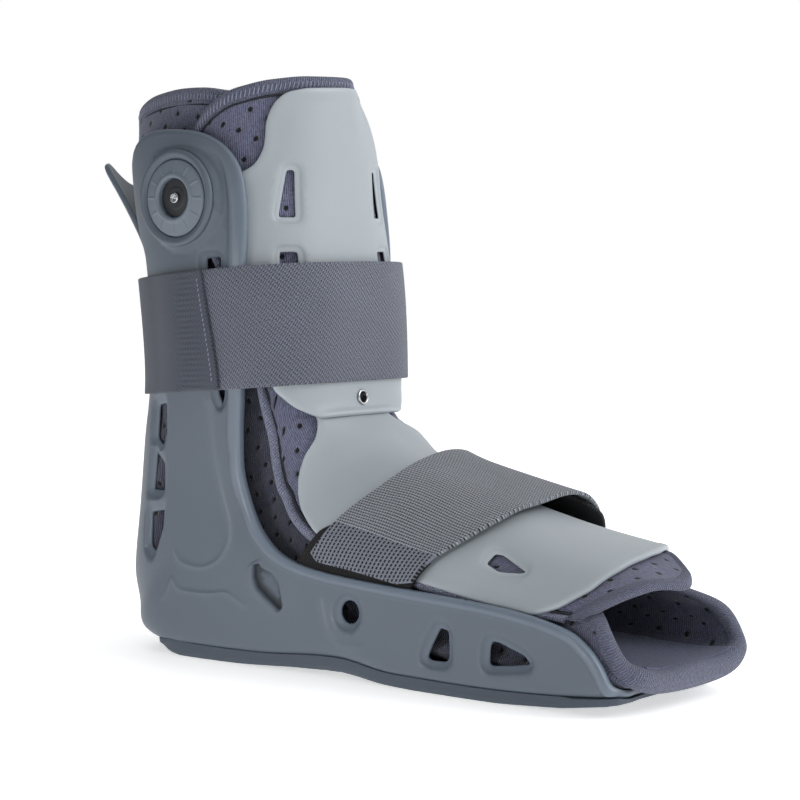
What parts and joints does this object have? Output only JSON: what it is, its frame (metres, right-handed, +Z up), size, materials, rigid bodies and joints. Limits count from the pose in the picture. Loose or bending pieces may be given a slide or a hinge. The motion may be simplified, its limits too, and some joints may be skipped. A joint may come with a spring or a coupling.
{
  "type": "inflatable ankle brace",
  "caption": "Short rigid walker boot for an injured ankle: grey shell on a rocker sole, padded knit liner, front plates, straps and an air valve with a turning ring.",
  "frame": {"origin": "middle of the flat part of the sole, on the floor", "axes": "+X to the toes, +Y to the wearer's left, +Z up"},
  "size_m": [0.3239, 0.1166, 0.2608],
  "materials": {
    "shell_plastic": "satin moulded plastic, slate grey",
    "sole_rubber": "matt dark grey sole rubber",
    "plate_plastic": "satin moulded plastic, light grey",
    "liner_knit": "padded purple-grey knit with small punched holes",
    "binding_knit": "folded knit edge binding, overlocked",
    "strap_twill": "fine grey twill strap",
    "strap_weave": "coarse grey woven strap",
    "tab_mesh": "open mesh strap end",
    "hook_black": "black brushed loop tape",
    "chrome": "bright metal"
  },
  "bodies": {
    "boot": {"back_shell": "shell_plastic", "outsole": "sole_rubber", "liner_boot": "liner_knit", "liner_tongue": "liner_knit", "collar_binding": "binding_knit", "toe_binding": "binding_knit", "tongue_binding": "binding_knit", "shin_plate": "plate_plastic", "dorsal_plate": "plate_plastic", "plate_eyelet": "chrome", "calf_strap_front": "strap_weave", "calf_strap_back": "strap_twill", "instep_under_strap": "hook_black", "instep_strap": "strap_weave", "instep_strap_tab": "tab_mesh", "valve_bezel": "shell_plastic", "valve_core": "chrome"},
    "dial": {"valve_dial": "shell_plastic"}
  },
  "joints": [
    {"name": "dial_turn", "type": "hinge", "parent": "boot", "child": "dial", "pos_m": [-0.084, -0.056, 0.2064], "axis": [0, -1, 0], "range_deg": [0, 90]}
  ]
}
